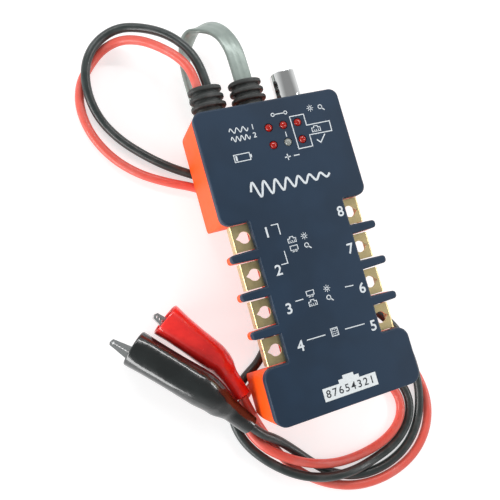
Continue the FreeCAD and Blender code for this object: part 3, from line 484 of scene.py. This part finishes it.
def stroke(points, width=0.38, closed=False):
    """A flat ribbon along a line of (x, y) points, mitred at its corners: each point is moved
    half a width to both sides along the mean of its two runs' normals, over the cosine of half
    the turn. Open ends reach half a width on."""
    line = np.array(points, float)
    if closed:
        before, after = np.roll(line, 1, axis=0), np.roll(line, -1, axis=0)
    else:
        line[0] += unit(line[0] - line[1]) * width / 2
        line[-1] += unit(line[-1] - line[-2]) * width / 2
        before = np.r_[2 * line[:1] - line[1:2], line[:-1]]
        after = np.r_[line[1:], 2 * line[-1:] - line[-2:-1]]
    square = np.array([[0.0, 1.0], [-1.0, 0.0]])
    one, two = unit(line - before) @ square, unit(after - line) @ square
    middle = unit(one + two)
    half = middle * (width / 2 / np.clip((middle * one).sum(axis=1), 0.5, 1))[:, None]
    rows = []
    for edge, z in ((-half, INK[0]), (half, INK[0]), (half, INK[1]), (-half, INK[1])):
        rows.append(np.c_[line + edge, np.full(len(line), z)])
    count = len(line)
    here = np.arange(count if closed else count - 1)
    ahead = (here + 1) % count
    faces = []
    for side in range(4):
        other = (side + 1) % 4
        faces.append(np.stack([side * count + here, side * count + ahead,
                               other * count + ahead, other * count + here], axis=1))
    faces = np.concatenate(faces)[:, ::-1].tolist()
    if not closed:
        faces += [[0, count, 2 * count, 3 * count][::-1],
                  [count - 1, 2 * count - 1, 3 * count - 1, 4 * count - 1]]
    return np.concatenate(rows), faces


def letter(text, size, x, y, bold=0.012, ink=INK):
    """Number centred on a place, from the font's own outline."""
    curve = bpy.data.curves.new("number", "FONT")
    curve.body = text
    curve.size = size
    curve.offset = bold * size
    curve.align_x, curve.align_y = "CENTER", "CENTER"
    curve.extrude = (ink[1] - ink[0]) / 2
    piece = bpy.data.objects.new("number", curve)
    bpy.context.scene.collection.objects.link(piece)
    mesh = bpy.data.meshes.new_from_object(piece)
    points = np.zeros(len(mesh.vertices) * 3)
    mesh.vertices.foreach_get("co", points)
    points = points.reshape(-1, 3) + (x, y, (ink[0] + ink[1]) / 2)
    faces = [list(p.vertices) for p in mesh.polygons]
    bpy.data.objects.remove(piece)
    bpy.data.meshes.remove(mesh)
    return points, faces


def gather(name, parts):
    """One mesh from several (points, faces) pairs."""
    points, faces, start = [], [], 0
    for part_points, part_faces in parts:
        points.append(part_points)
        faces += [[i + start for i in f] for f in part_faces]
        start += len(part_points)
    mesh = bpy.data.meshes.new(name)
    mesh.from_pydata((np.concatenate(points) * MM).tolist(), [], faces)
    shells = bmesh.new()
    shells.from_mesh(mesh)
    bmesh.ops.recalc_face_normals(shells, faces=shells.faces)
    shells.to_mesh(mesh)
    shells.free()
    piece = bpy.data.objects.new(name, mesh)
    bpy.context.scene.collection.objects.link(piece)
    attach(piece, HOUSING)
    return piece


# %% Signs that stand for the legend's words
def wave(x, y, long, tall, turns, width=0.38, fade=0.0):
    t = np.linspace(0, 1, 14 * turns + 1)
    height = tall / 2 * np.sin(2 * math.pi * turns * t) * (1 - fade * t)
    return stroke(np.stack([x + long * t, y + height], axis=1).tolist(), width)


def ring(x, y, radius, width=0.34, steps=20):
    turn = np.linspace(0, 2 * math.pi, steps, endpoint=False)
    return stroke(np.stack([x + radius * np.cos(turn), y + radius * np.sin(turn)], axis=1).tolist(),
                  width, closed=True)


def block(x0, y0, x1, y1, width=0.34):
    return stroke([(x0, y0), (x1, y0), (x1, y1), (x0, y1)], width, closed=True)


def socket(x, y, w=3.4, h=2.1):
    """Outline of a network socket: a box with a stepped top and three contacts."""
    outline = [(x - w / 2, y - h / 2), (x + w / 2, y - h / 2), (x + w / 2, y + h * 0.2),
               (x + w * 0.22, y + h * 0.2), (x + w * 0.22, y + h / 2), (x - w * 0.22, y + h / 2),
               (x - w * 0.22, y + h * 0.2), (x - w / 2, y + h * 0.2)]
    parts = [stroke(outline, 0.3, closed=True)]
    return parts + [stroke([(x + s, y - h / 2), (x + s, y - h * 0.16)], 0.26) for s in (-0.9, 0, 0.9)]


def screen(x, y, w=3.0, h=2.0):
    """Outline of a computer's screen on its foot."""
    return [block(x - w / 2, y - h * 0.32, x + w / 2, y + h / 2, 0.3),
            stroke([(x - w * 0.28, y - h * 0.62), (x + w * 0.28, y - h * 0.62)], 0.34),
            stroke([(x, y - h * 0.34), (x, y - h * 0.62)], 0.34)]


def rays(x, y, inner=0.75, outer=1.3):
    """A small lit lamp: a ring and eight rays."""
    turn = np.arange(8) * math.pi / 4
    lines = [stroke([(x + inner * 1.25 * math.cos(a), y + inner * 1.25 * math.sin(a)),
                     (x + outer * math.cos(a), y + outer * math.sin(a))], 0.24) for a in turn]
    return [ring(x, y, inner * 0.72, 0.3)] + lines


def seeker(x, y):
    """A magnifying ring with its handle."""
    return [ring(x, y, 0.8), stroke([(x + 0.7, y - 0.6), (x + 1.5, y - 1.4)], 0.42)]


# %% The pale print
NUMBERS = {
    "1": (-14.4, 3.5), "2": (-14.0, -11.3), "3": (-14.1, -26.1), "4": (-13.7, -40.5),
    "5": (17.0, -41.3), "6": (16.9, -26.3), "7": (16.7, -10.4), "8": (17.1, 4.6),
}
ink = [letter(text, 5.6, x, y, 0.016) for text, (x, y) in NUMBERS.items()]
# frame round the two right-hand lamps and the socket beside them
ink.append(stroke([(7.5, 45.6), (13.5, 45.6), (13.5, 41.0), (23.5, 41.0), (23.4, 36.9), (13.6, 37.0),
                   (13.6, 32.4), (7.6, 32.4)], closed=True))
ink += socket(17.0, 39.0, 3.6, 2.2)
ink.append(stroke([(4.1, 39.9), (4.1, 38.2)], 0.34))
# two tones, each a wave with its number
ink += [wave(-18.0, 44.3, 7.6, 1.9, 3), letter("1", 2.9, -8.4, 44.4), wave(-18.0, 41.0, 7.6, 1.9, 4),
        letter("2", 2.9, -8.4, 41.1)]
# a closed line between two terminals: continuity
ink += [ring(0.9, 47.6, 0.62), stroke([(1.6, 47.6), (5.6, 47.6)]), ring(6.3, 47.6, 0.62)]
# a lit lamp and a searching ring, for blink and detect
ink += rays(16.9, 47.5) + seeker(21.3, 47.3)
# a tick for a find
ink.append(stroke([(16.2, 34.4), (17.4, 33.2), (19.9, 36.0)], 0.46))
# a low cell
ink += [block(-18.9, 32.2, -12.6, 35.0), stroke([(-12.1, 33.2), (-12.1, 34.0)], 0.5),
        stroke([(-18.0, 33.0), (-18.0, 34.2)], 0.7)]
# continuity and polarity
ink += [stroke([(1.2, 30.2), (3.2, 30.2)], 0.42), stroke([(2.2, 29.2), (2.2, 31.2)], 0.42),
        stroke([(5.0, 30.2), (7.0, 30.2)], 0.42)]
# a fading tone in the place of a title
ink.append(wave(-16.0, 20.3, 33.0, 6.2, 7, 0.85, 0.72))
# brackets and rules that join the tab numbers
ink += [stroke([(-12.0, 5.9), (-9.4, 5.9), (-9.4, 1.9)]), stroke([(-9.8, -4.9), (-9.7, -9.4), (-12.2, -9.4)]),
        stroke([(-10.8, -24.0), (-7.9, -24.0)]), stroke([(10.2, -24.0), (13.4, -24.2)]),
        stroke([(-10.6, -39.0), (-3.3, -39.1)]), stroke([(5.4, -39.3), (13.4, -39.5)])]
# what each tab pair is for: a socket or a screen, with a lit lamp or a searching ring
ink += socket(-5.6, -1.2, 3.2, 2.2) + rays(-0.4, -1.0) + screen(-5.6, -4.6) + seeker(-0.4, -4.6)
ink += screen(-4.4, -22.6) + rays(2.6, -22.6) + socket(-4.4, -26.2, 3.2, 2.2) + seeker(2.4, -26.0)
# a keypad
ink.append(block(-0.5, -40.5, 2.2, -37.6, 0.32))
ink += [stroke([(0.1 + 0.75 * i, -39.7 + 0.8 * j), (0.2 + 0.75 * i, -39.7 + 0.8 * j)], 0.34)
        for i in range(3) for j in range(3)]
face_print = gather("face_print", ink)

# %% The patch beside the modular jack, with its pin numbers
PATCH_X, PATCH_LOW, PATCH_TOP = (-10.3, 12.2), -62.8, -57.9
patch_parts = []
for x0, x1, y0, y1 in ((PATCH_X[0], PATCH_X[1], PATCH_LOW, PATCH_TOP), (-3.2, 5.4, PATCH_TOP, -56.5),
                       (-1.2, 3.4, -56.5, -55.3)):
    middle = (y0 + y1) / 2
    half = (y1 - y0) / 2
    patch_parts.append(stroke([(x0 + half, middle), (x1 - half, middle)], 2 * half))
jack_patch = gather("jack_patch", patch_parts)
pin_numbers = gather("pin_numbers", [letter(str(8 - i), 4.0, -8.3 + 2.62 * i, -60.4, 0.01, INK_ON_PATCH)
                                     for i in range(8)])
print("print faces:", len(face_print.data.polygons))


# %% [markdown]
# ## Shader maths as Python
#
# A material is a small tree of nodes. Wiring each Math node by hand hides the formula, so a
# socket is wrapped in a class whose operators add the Math nodes. Then a mask can be written
# as 1 - a * b. Everything else, such as a noise or a ramp, comes from one method.

# %% A socket that can be added, multiplied and compared
class Value:
    def __init__(self, tree, socket):
        self.tree, self.socket = tree, socket

    def math(self, operation, *others, clamp=False):
        node = self.tree.nodes.new("ShaderNodeMath")
        node.operation, node.use_clamp = operation, clamp
        for slot, other in zip(node.inputs, others):
            if isinstance(other, Value):
                self.tree.links.new(other.socket, slot)
            else:
                slot.default_value = other
        return Value(self.tree, node.outputs[0])

    def __add__(self, other):
        return self.math("ADD", self, other)

    def __sub__(self, other):
        return self.math("SUBTRACT", self, other)

    def __rsub__(self, other):
        return self.math("SUBTRACT", other, self)

    def __mul__(self, other):
        return self.math("MULTIPLY", self, other)

    def clamped(self):
        return self.math("ADD", self, 0.0, clamp=True)

    __radd__, __rmul__ = __add__, __mul__


class Finish:
    """A material with a Principled shader and helpers that add nodes to it."""

    def __init__(self, name):
        self.material = bpy.data.materials.new(name)
        self.material.use_nodes = True
        self.tree = self.material.node_tree
        self.tree.nodes.clear()
        output = self.tree.nodes.new("ShaderNodeOutputMaterial")
        self.shader = self.tree.nodes.new("ShaderNodeBsdfPrincipled")
        self.tree.links.new(self.shader.outputs[0], output.inputs["Surface"])

    def node(self, kind, settings=(), output=0, **sockets):
        """Add a node: its settings first, then its sockets' values or links."""
        node = self.tree.nodes.new(f"ShaderNode{kind}")
        for key, value in dict(settings).items():
            if key == "stops":
                ramp = node.color_ramp
                while len(ramp.elements) < len(value):
                    ramp.elements.new(0.5)
                for element, (place, colour) in zip(ramp.elements, value):
                    element.position, element.color = place, tuple(colour) + (1.0,)
            else:
                setattr(node, key, value)
        for key, value in sockets.items():
            self.set(node.inputs[int(key[1:]) if key[0] == "_" else key], value)
        return Value(self.tree, node.outputs[output])

    def set(self, socket, value):
        if isinstance(value, Value):
            self.tree.links.new(value.socket, socket)
        elif socket.type == "RGBA":
            socket.default_value = tuple(value)[:3] + (1.0,)
        else:
            socket.default_value = value

    def place(self, stretch=(1, 1, 1), turn=(0, 0, 0)):
        """Object coordinates in millimetres, stretched along an axis for brushed patterns."""
        coords = self.node("TexCoord", output=3)
        scale = tuple(s / MM for s in stretch)
        return self.node("Mapping", Vector=coords, Scale=scale, Rotation=turn)

    def noise(self, per_mm, detail=3.0, rough=0.55, stretch=(1, 1, 1), turn=(0, 0, 0)):
        return self.node("TexNoise", Vector=self.place(stretch, turn), Scale=per_mm, Detail=detail,
                         Roughness=rough)

    def spots(self, per_mm):
        return self.node("TexVoronoi", Vector=self.place(), Scale=per_mm)

    def between(self, value, low, high):
        """0 below low, 1 above high, smooth between."""
        return self.node("MapRange", {"interpolation_type": "SMOOTHSTEP"}, Value=value, _1=low, _2=high)

    def mix(self, mask, first, second):
        node = self.tree.nodes.new("ShaderNodeMix")
        node.data_type = "RGBA"
        self.set(node.inputs[0], mask)
        self.set(node.inputs[6], first)
        self.set(node.inputs[7], second)
        return Value(self.tree, node.outputs[2])

    def bump(self, height, distance_mm, strength=1.0, normal=None):
        more = {} if normal is None else {"Normal": normal}
        return self.node("Bump", Height=height, Distance=distance_mm * MM, Strength=strength, **more)

    def surface(self, **sockets):
        for key, value in sockets.items():
            self.set(self.shader.inputs[key.replace("_", " ")], value)
        return self.material


def srgb(red, green, blue):
    """Linear colour of a display colour given in 0 to 255."""
    share = np.array([red, green, blue]) / 255.0
    return tuple(np.where(share < 0.04045, share / 12.92, ((share + 0.055) / 1.055) ** 2.4).tolist())


# %% [markdown]
# ## Moulded plastic
#
# The two covers are injection-moulded with a spark-eroded finish: a fine grain that softens
# the gloss, and a slow drift in tone where the plastic flowed. Handling polishes it in patches,
# so the roughness drifts too.

# %% Navy, orange and black plastic
def moulded(name, colour, rough, grain=0.010, drift=0.10):
    finish = Finish(name)
    slow = finish.noise(0.05, 2.0)
    fine = finish.noise(4.5, 3.0, 0.6)
    rubbed = finish.noise(0.22, 4.0, 0.65)
    light = tuple(min(1.0, c * (1 + drift)) for c in colour)
    dark = tuple(c * (1 - drift) for c in colour)
    grained = finish.bump(fine, grain, 0.5)
    finish.surface(Specular_IOR_Level=0.35)
    return finish.surface(
        Base_Color=finish.mix(finish.between(slow, 0.35, 0.65), dark, light),
        Roughness=rough + 0.10 * (rubbed - 0.5) + 0.06 * (fine - 0.5),
        Normal=grained,
    )


NAVY = srgb(27, 48, 69)
ORANGE = srgb(255, 84, 2)
navy_plastic = moulded("navy_moulded_plastic", NAVY, 0.50)
orange_plastic = moulded("orange_moulded_plastic", ORANGE, 0.52, drift=0.03)
black_plastic = moulded("black_moulded_plastic", srgb(30, 31, 33), 0.45)
white_plastic = moulded("white_insulator_plastic", srgb(238, 238, 230), 0.4, drift=0.03)


# %% [markdown]
# ## Sheet metal
#
# The contact tabs are stamped from brass strip with a thin pale plating. Rolling leaves fine
# lines along the strip, so a noise is stretched along one axis. Contact with clips leaves a few
# darker rub marks.

# %% Brass tabs
def brushed(name, colour, dull, rough, along, lines=9.0, marks=0.35):
    finish = Finish(name)
    stretch = tuple(0.06 if axis == along else 1.0 for axis in "XYZ")
    grain = finish.noise(lines, 3.0, 0.6, stretch)
    cloud = finish.between(finish.noise(0.5, 4.0, 0.6), 0.38, 0.68)
    speck = finish.between(finish.noise(2.6, 3.0, 0.7), 0.62, 0.74)
    wear = (cloud * marks + speck * 0.3).clamped()
    return finish.surface(
        Base_Color=finish.mix(wear, colour, dull),
        Metallic=1.0,
        Roughness=rough + 0.12 * grain + 0.10 * cloud,
        Normal=finish.bump(grain, 0.004, 0.4),
    )


BRASS = srgb(226, 208, 158)
tab_brass = brushed("plated_brass", BRASS, srgb(176, 152, 100), 0.26, "Y")
gold_contact = brushed("gold_plated_contact", srgb(238, 200, 120), srgb(200, 150, 70), 0.18, "Y")
copper_wire = brushed("copper_strand", srgb(214, 140, 96), srgb(150, 84, 52), 0.3, "X")
zinc_steel = brushed("zinc_plated_steel", srgb(196, 198, 192), srgb(140, 142, 140), 0.3, "X")
clip_steel = brushed("nickel_plated_steel", srgb(214, 218, 218), srgb(150, 156, 158), 0.16, "Z", 6.0)


# %% [markdown]
# ## Bright nickel
#
# The coax barrel is polished and plated, so nearly all of its look is what it reflects. It only
# gets faint turning rings and a few hair-fine wipe marks.

# %% Chrome
def polished(name):
    finish = Finish(name)
    rings = finish.noise(7.0, 2.0, 0.5, (0.15, 1.0, 0.15))
    smear = finish.between(finish.noise(0.35, 4.0, 0.7), 0.45, 0.75)
    return finish.surface(Base_Color=srgb(232, 234, 234), Metallic=1.0, Roughness=0.05 + 0.07 * smear,
                          Normal=finish.bump(rings, 0.0015, 0.5))


chrome = polished("bright_nickel")


# %% [markdown]
# ## Rubber, vinyl and lead covers
#
# The boots are dull moulded rubber. The sleeves are dipped vinyl, glossy and a little uneven,
# which a clear coat over a slow bump shows. The leads wear soft rubber that picks up dust, and
# the red one has gone slightly pale.

# %% Soft materials
def rubbery(name, colour, rough, grain_mm, dust=0.08, sheen=0.0, coat=0.0):
    finish = Finish(name)
    fine = finish.noise(5.0, 4.0, 0.65)
    patch = finish.between(finish.noise(0.18, 4.0, 0.6), 0.42, 0.72)
    pale = tuple(c + dust * (0.5 - c) for c in colour)
    finish.surface(Coat_Weight=coat, Coat_Roughness=0.12, Sheen_Weight=sheen, Sheen_Roughness=0.45)
    return finish.surface(
        Base_Color=finish.mix(patch, colour, pale),
        Roughness=rough + 0.12 * (fine - 0.5) + 0.06 * patch,
        Normal=finish.bump(fine, grain_mm, 0.6),
    )


def vinyl(name, colour, deep):
    finish = Finish(name)
    waves = finish.noise(0.16, 2.0, 0.5)
    orange_peel = finish.noise(0.9, 2.0, 0.5)
    tint = finish.between(finish.noise(0.1, 3.0), 0.35, 0.7)
    finish.surface(Coat_Weight=0.7, Coat_Roughness=0.05)
    return finish.surface(
        Base_Color=finish.mix(tint, colour, deep),
        Roughness=0.20 + 0.10 * orange_peel,
        Normal=finish.bump(orange_peel, 0.05, 0.5, finish.bump(waves, 0.9, 0.5)),
    )


black_rubber = rubbery("black_boot_rubber", srgb(44, 48, 47), 0.52, 0.03, 0.10)
black_lead = rubbery("black_lead_rubber", srgb(38, 47, 46), 0.36, 0.008, 0.05, coat=0.15)
red_lead = rubbery("red_lead_rubber", srgb(224, 92, 78), 0.40, 0.008, 0.10, coat=0.15)
black_vinyl = vinyl("black_dipped_vinyl", srgb(14, 20, 20), srgb(24, 30, 30))
red_vinyl = vinyl("red_dipped_vinyl", srgb(243, 44, 38), srgb(222, 26, 26))

# %% The flat cord's silver-grey jacket: satin, with a faint fine grain
def satin_jacket(name, colour, shade):
    finish = Finish(name)
    cloud = finish.between(finish.noise(0.12, 4.0, 0.6), 0.35, 0.7)
    fine = finish.noise(3.0, 3.0, 0.6)
    finish.surface(Coat_Weight=0.25, Coat_Roughness=0.25)
    return finish.surface(Base_Color=finish.mix(cloud, colour, shade), Metallic=0.35,
                          Roughness=0.36 + 0.1 * (fine - 0.5), Normal=finish.bump(fine, 0.01, 0.5))


silver_cord = satin_jacket("silver_satin_jacket", srgb(150, 162, 156), srgb(132, 144, 138))


# %% [markdown]
# ## Lamps and clear plastic
#
# The lamps are tinted epoxy: light passes through the lens and shows the cup inside. The
# modular plug is clear polycarbonate.

# %% Clear and tinted lenses
def clear(name, colour, through, rough=0.06):
    finish = Finish(name)
    cloud = finish.noise(1.2, 2.0)
    finish.surface(Transmission_Weight=through, IOR=1.5)
    return finish.surface(Base_Color=colour, Roughness=rough + 0.06 * cloud,
                          Normal=finish.bump(cloud, 0.01, 0.3))


lamp_red = clear("red_lamp_lens", srgb(226, 44, 30), 0.55)
lamp_clear = clear("clear_lamp_lens", srgb(196, 200, 194), 0.55)
clear_plastic = clear("clear_plug_plastic", srgb(226, 230, 230), 0.85, 0.08)


# %% Print inks
def ink_finish(name, colour, rough=0.55):
    finish = Finish(name)
    thin = finish.between(finish.noise(1.6, 4.0, 0.7), 0.30, 0.72)
    worn = tuple(c * 0.86 for c in colour)
    return finish.surface(Base_Color=finish.mix(thin, worn, colour), Roughness=rough + 0.08 * thin)


pale_ink = ink_finish("pale_print_ink", srgb(222, 229, 234))
patch_ink = ink_finish("grey_patch_ink", srgb(232, 238, 240))
dark_ink = ink_finish("dark_number_ink", srgb(40, 46, 52))


# %% [markdown]
# ## Circuit board and battery
#
# Inside the case the board is green, with copper tracks that follow a square grid, and the
# battery wears a dark printed sleeve with a copper-coloured band at its terminals.

# %% Board and battery
def solder_mask(name):
    finish = Finish(name)
    tracks = finish.node("TexBrick", {"offset": 0.5, "squash": 0.6}, Vector=finish.place(), Scale=0.22,
                         Color1=(0.0, 0.0, 0.0), Color2=(0.25, 0.25, 0.25), Mortar=(1.0, 1.0, 1.0),
                         _5=0.02, _7=0.0)
    raised = finish.between(tracks, 0.5, 0.8)
    pads = 1 - finish.between(finish.spots(0.32), 0.13, 0.17)
    green = finish.mix(raised, srgb(18, 92, 48), srgb(40, 124, 66))
    return finish.surface(Base_Color=finish.mix(pads, green, srgb(206, 196, 170)),
                          Metallic=pads * 0.8, Roughness=0.32 + 0.1 * pads,
                          Normal=finish.bump(raised + pads, 0.04, 0.6))


def battery_sleeve(name):
    finish = Finish(name)
    along = finish.node("SeparateXYZ", Vector=finish.place())
    band = finish.between(along, -13.0, -12.6)
    end = 1 - finish.between(along, -23.6, -23.4)
    scuffs = finish.between(finish.noise(0.8, 5.0, 0.7), 0.58, 0.72)
    wrap = finish.mix(band, srgb(190, 124, 62), srgb(34, 35, 38))
    return finish.surface(Base_Color=finish.mix(end, finish.mix(scuffs * 0.25, wrap, srgb(120, 118, 114)),
                                                srgb(180, 180, 176)),
                          Metallic=0.6 + 0.3 * end, Roughness=0.28 + 0.15 * scuffs)


board_green = solder_mask("green_solder_mask")
battery_case = battery_sleeve("battery_sleeve")

# %% Put each finish on its pieces: new pieces first, then every CAD node by its slot
FINISHES = {
    "navy_plastic": navy_plastic, "orange_plastic": orange_plastic, "zinc_steel": zinc_steel,
    "board_green": board_green, "lamp_red": lamp_red, "lamp_clear": lamp_clear,
    "tab_brass": tab_brass, "black_plastic": black_plastic, "black_rubber": black_rubber,
    "chrome": chrome, "clip_steel": clip_steel, "white_plastic": white_plastic,
    "gold_contact": gold_contact, "battery_case": battery_case, "black_lead": black_lead,
    "red_lead": red_lead, "silver_cord": silver_cord, "clear_plastic": clear_plastic,
    "copper_wire": copper_wire, "black_vinyl": black_vinyl, "red_vinyl": red_vinyl,
}


def dress(piece, material):
    piece.data.materials.clear()
    piece.data.materials.append(material)


for colour in CLIPS:
    dress(leads[colour], FINISHES[f"{colour}_lead"])
    dress(sleeves[colour], FINISHES[f"{colour}_vinyl"])
dress(flat_cord, silver_cord)
dress(barrel_shell, chrome)
dress(face_print, pale_ink)
dress(jack_patch, patch_ink)
dress(pin_numbers, dark_ink)
for piece in boots:
    dress(piece, black_rubber)
for node, lens_piece in lamp_lenses.items():
    dress(lens_piece, lamp_clear if node == "led_polarity" else lamp_red)
for cup in lamp_cups:
    dress(cup, clip_steel)
for part in frame["record"]["subparts"]:
    dress(frame["nodes"][part["node"]], FINISHES[part["material_slot"]])


# %% [markdown]
# ## Table and light
#
# A pale table fills the view. Two long strip lights give the vinyl and the barrel their long
# thin highlights. The sky is dimmer overhead than at its rim, so that black and bright pieces
# keep some dark in what they reflect.

# %% Table
def table():
    reach = 1500.0
    side = np.array([(-reach, -reach), (reach, -reach), (reach, reach), (-reach, reach)])
    mesh = bpy.data.meshes.new("table")
    mesh.from_pydata([(x * MM, y * MM, TABLE * MM - 0.0001) for x, y in side], [], [(0, 1, 2, 3)])
    piece = bpy.data.objects.new("table", mesh)
    bpy.context.scene.collection.objects.link(piece)
    piece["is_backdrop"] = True
    finish = Finish("pale_table")
    grain = finish.noise(0.4, 3.0)
    dress(piece, finish.surface(Base_Color=(0.55, 0.55, 0.55), Roughness=0.75 + 0.05 * grain,
                                Emission_Color=(1.0, 1.0, 1.0), Emission_Strength=0.62))


table()


# %% Lights: a long strip beyond the head, another on the right, and a low one on the left
def area_light(name, place, target, size, power, tint=(1, 1, 1)):
    light = bpy.data.lights.new(name, "AREA")
    light.shape = "RECTANGLE"
    light.size, light.size_y = size[0] * MM, size[1] * MM
    light.energy, light.color = power, tint
    lamp = bpy.data.objects.new(name, light)
    ahead = unit(np.array(target, float) - np.array(place, float))
    side = unit(np.cross(ahead, (0.0, 0.0, 1.0)))
    up = np.cross(side, ahead)
    turn = np.eye(4)
    turn[:3, 0], turn[:3, 1], turn[:3, 2], turn[:3, 3] = side, up, -ahead, np.array(place) * MM
    lamp.matrix_world = Matrix(turn.tolist())
    bpy.context.scene.collection.objects.link(lamp)


area_light("strip_above", (80, 460, 420), (-10, 0, 0), (700, 60), 2.0)
area_light("strip_right", (460, -80, 330), (0, -20, 0), (520, 60), 1.3)
area_light("low_left", (-420, -120, 90), (-20, -20, 0), (420, 160), 1.6)


def gradient_sky(low, high):
    """Sky that goes from one grey at the horizon to another overhead."""
    sky = bpy.data.worlds.new("sky")
    sky.use_nodes = True
    nodes, links = sky.node_tree.nodes, sky.node_tree.links
    coords, ramp = nodes.new("ShaderNodeTexCoord"), nodes.new("ShaderNodeValToRGB")
    split = nodes.new("ShaderNodeSeparateXYZ")
    links.new(coords.outputs["Generated"], split.inputs[0])
    links.new(split.outputs[2], ramp.inputs[0])
    links.new(ramp.outputs[0], nodes["Background"].inputs[0])
    ramp.color_ramp.elements[0].position, ramp.color_ramp.elements[0].color = 0.25, (low,) * 3 + (1,)
    ramp.color_ramp.elements[1].position, ramp.color_ramp.elements[1].color = 0.80, (high,) * 3 + (1,)
    return sky


bpy.context.scene.world = gradient_sky(0.80, 0.30)

# %% Sizes of the CAD box and of the shown pieces, and the last line
shown_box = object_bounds()
sizes = {"cad": [list(corner) for corner in cad_box], "shown": [list(corner) for corner in shown_box]}
print("box in mm:", [round((high - low) / MM, 1) for low, high in zip(*sizes["shown"])])
